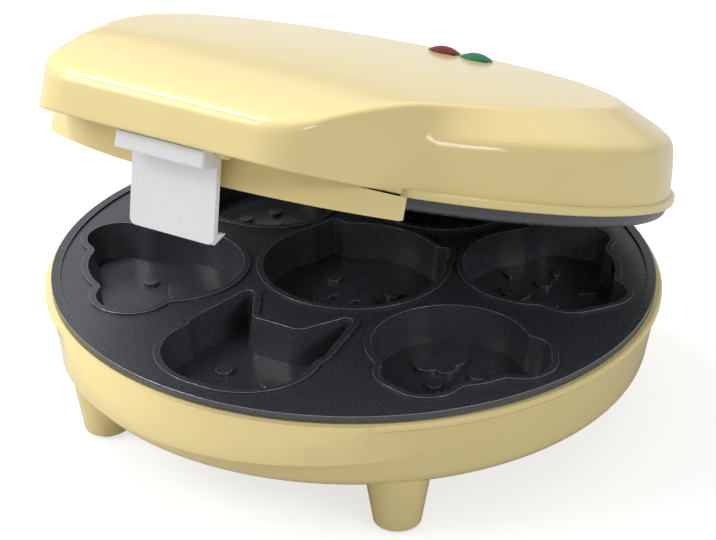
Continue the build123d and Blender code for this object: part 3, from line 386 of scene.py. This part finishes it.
knuckle = new_piece("lid_knuckle", form, cream_abs)
for piece in (lid, bead, knuckle):
    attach(piece, "lid")
    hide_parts("lid_shell")

# Handle cover. A second moulding of the cream ABS closes the handle from below, held by screws; its curved curtain
# hangs down behind the latch.
refine("cover_and_curtain", "handle_cover", cream_abs, MOULD_EDGE)

# Mould plates. Cast aluminium under a sprayed and baked non-stick coat: satin dark grey, whose fine grain, drawn
# coarser here so that it shows, scatters the light into specks. Each hangs on three screws in its housing.
coat = grained("nonstick_coat_grey_sprayed", ("#2C2E31", "#50535A"), (0.2, 0.36), grain=0.7, depth=0.03, IOR=1.5,
               Specular_IOR_Level=0.9)

# Over the ridges and outer edges the rounded faces get a near-white, partly metallic colour: a painted highlight for
# the light that these edges catch.
PLATE_EDGE = 0.5 * MM
painted_edge_highlight = grained("nonstick_coat_painted_edge_highlight", ("#D6D8DB", "#E6E7E9"), (0.14, 0.24), grain=0.7, depth=0.02,
                    IOR=1.5, Metallic=0.4)
for plate in (refine("lower_mould_plate", "lower_plate", coat, PLATE_EDGE),
              refine("upper_mould_plate", "upper_plate", coat, PLATE_EDGE)):
    # The bevel's rounded faces take the painted highlight as their second material.
    plate.data.materials.append(painted_edge_highlight)
    plate.modifiers["rounded edges"].material = 1

# Latch. One moulding of natural polypropylene, unpainted: milky white, and its thin wall lets some light through. It
# turns on its pin under the handle.
milky = grained("polypropylene_milky_moulded", ("#F6F6F8", "#EEEFF1"), (0.24, 0.34), grain=6, depth=0.02,
                IOR=1.49, Subsurface_Weight=0.3, Subsurface_Radius=(0.004, 0.004, 0.005))
refine("latch_arm", "latch", milky, MOULD_EDGE)

# The latch's barb. The same polypropylene, moulded across the whole width of its foot, to hook under the base's lip.
BARB_HALF, BARB_FROM_Y, BARB_TO_Y = 15.3, -113.515, -108.24
BARB_LOW_Z, BARB_TIP_Z, BARB_TOP_Z = 29.8, 33.0, 33.3
BARB_EDGE = 0.12 * MM
form = bmesh.new()
corners = [form.verts.new(Vector((-BARB_HALF, y, z)) * MM) for y, z in (
    (BARB_FROM_Y, BARB_LOW_Z), (BARB_TO_Y, BARB_TIP_Z), (BARB_TO_Y, BARB_TOP_Z), (BARB_FROM_Y, BARB_TOP_Z))]
side = form.faces.new(corners)
swept = bmesh.ops.extrude_face_region(form, geom=[side])["geom"]
far_side = [part for part in swept if isinstance(part, bmesh.types.BMVert)]
bmesh.ops.translate(form, verts=far_side, vec=(2 * BARB_HALF * MM, 0, 0))
bmesh.ops.recalc_face_normals(form, faces=form.faces[:])
bmesh.ops.bevel(form, geom=form.edges[:], offset=BARB_EDGE, segments=2, profile=0.5, affect="EDGES", material=-1)
form.transform(OPEN)
barb = new_piece("latch_barb", form, milky)
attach(barb, "latch")
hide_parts("latch")


# Feet's pads. Black rubber discs pressed into the feet, with a dull skin that takes up dust.
def dress(name, material):
    """Gives a CAD piece its material."""
    piece = nodes[name]
    piece.data.materials.clear()
    piece.data.materials.append(material)


rubber = grained("rubber_black_moulded", ("#1B1B1C", "#2A2A2B"), (0.7, 0.9), grain=1.2, depth=0.06, IOR=1.5)
dress("foot_pads", rubber)

# Cord inlet. A black nylon bush snapped into the back of the base, with the fine grain of a spark-eroded mould.
nylon = grained("nylon_black_moulded", ("#1E1F21", "#28292B"), (0.4, 0.55), grain=0.8, depth=0.03, IOR=1.53)
dress("cord_inlet", nylon)

# Screws and pins. Turned steel with a bright zinc plating that has clouded a little. The pins sit tight in the ears
# and lugs, and the screws bite into posts of the lower plate, the lid and its handle.
zinc = grained("steel_zinc_plated_turned", ("#B9BBBE", "#D2D3D4"), (0.25, 0.42), grain=1.5, depth=0.01, Metallic=1.0)
for name in ("hinge_pins", "latch_pin", "cover_screws", "lower_plate_screws", "upper_plate_screws"):
    dress(name, zinc)

# Reflectors. Dishes pressed from aluminium sheet, with the long fine lines of rolling. They lie behind the elements,
# and the plates' screws go through their rims.
aluminium = grained("aluminium_sheet_rolled", ("#CFD0D2", "#DDDEDF"), (0.28, 0.44), grain=1.0, depth=0.01,
                    stretch=(1, 0.06, 1), Metallic=1.0)
for name in ("lower_reflector", "upper_reflector"):
    dress(name, aluminium)

# Heating elements. Steel-sheathed rods bent into a ring behind each plate, with a terminal pin at either end, turned
# brown and grey in blotches by the heat.
sheath = grained("steel_sheath_heat_tinted", ("#4A4038", "#7C7268"), (0.42, 0.62), grain=9, depth=0.02, Metallic=1.0)
for name in ("lower_element", "upper_element"):
    dress(name, sheath)

# Lamps. Domed caps of tinted clear polycarbonate, pushed into the roof, red for power and green for ready, each over
# a neon bulb of drawn glass.
for name, tones in (("red_lens", ("#8A2318", "#74190F")), ("green_lens", ("#1F8A63", "#157552"))):
    tinted = grained(name + "_polycarbonate_moulded", tones, (0.04, 0.08), grain=5, depth=0.02,
                     IOR=1.585, Transmission_Weight=0.35)
    dress(name, tinted)
bulb = grained("neon_bulb_glass_drawn", ("#F2E4D8", "#EAD9CB"), (0.02, 0.05), grain=4, depth=0.01,
               IOR=1.5, Transmission_Weight=0.9)
dress("neon_lamps", bulb)
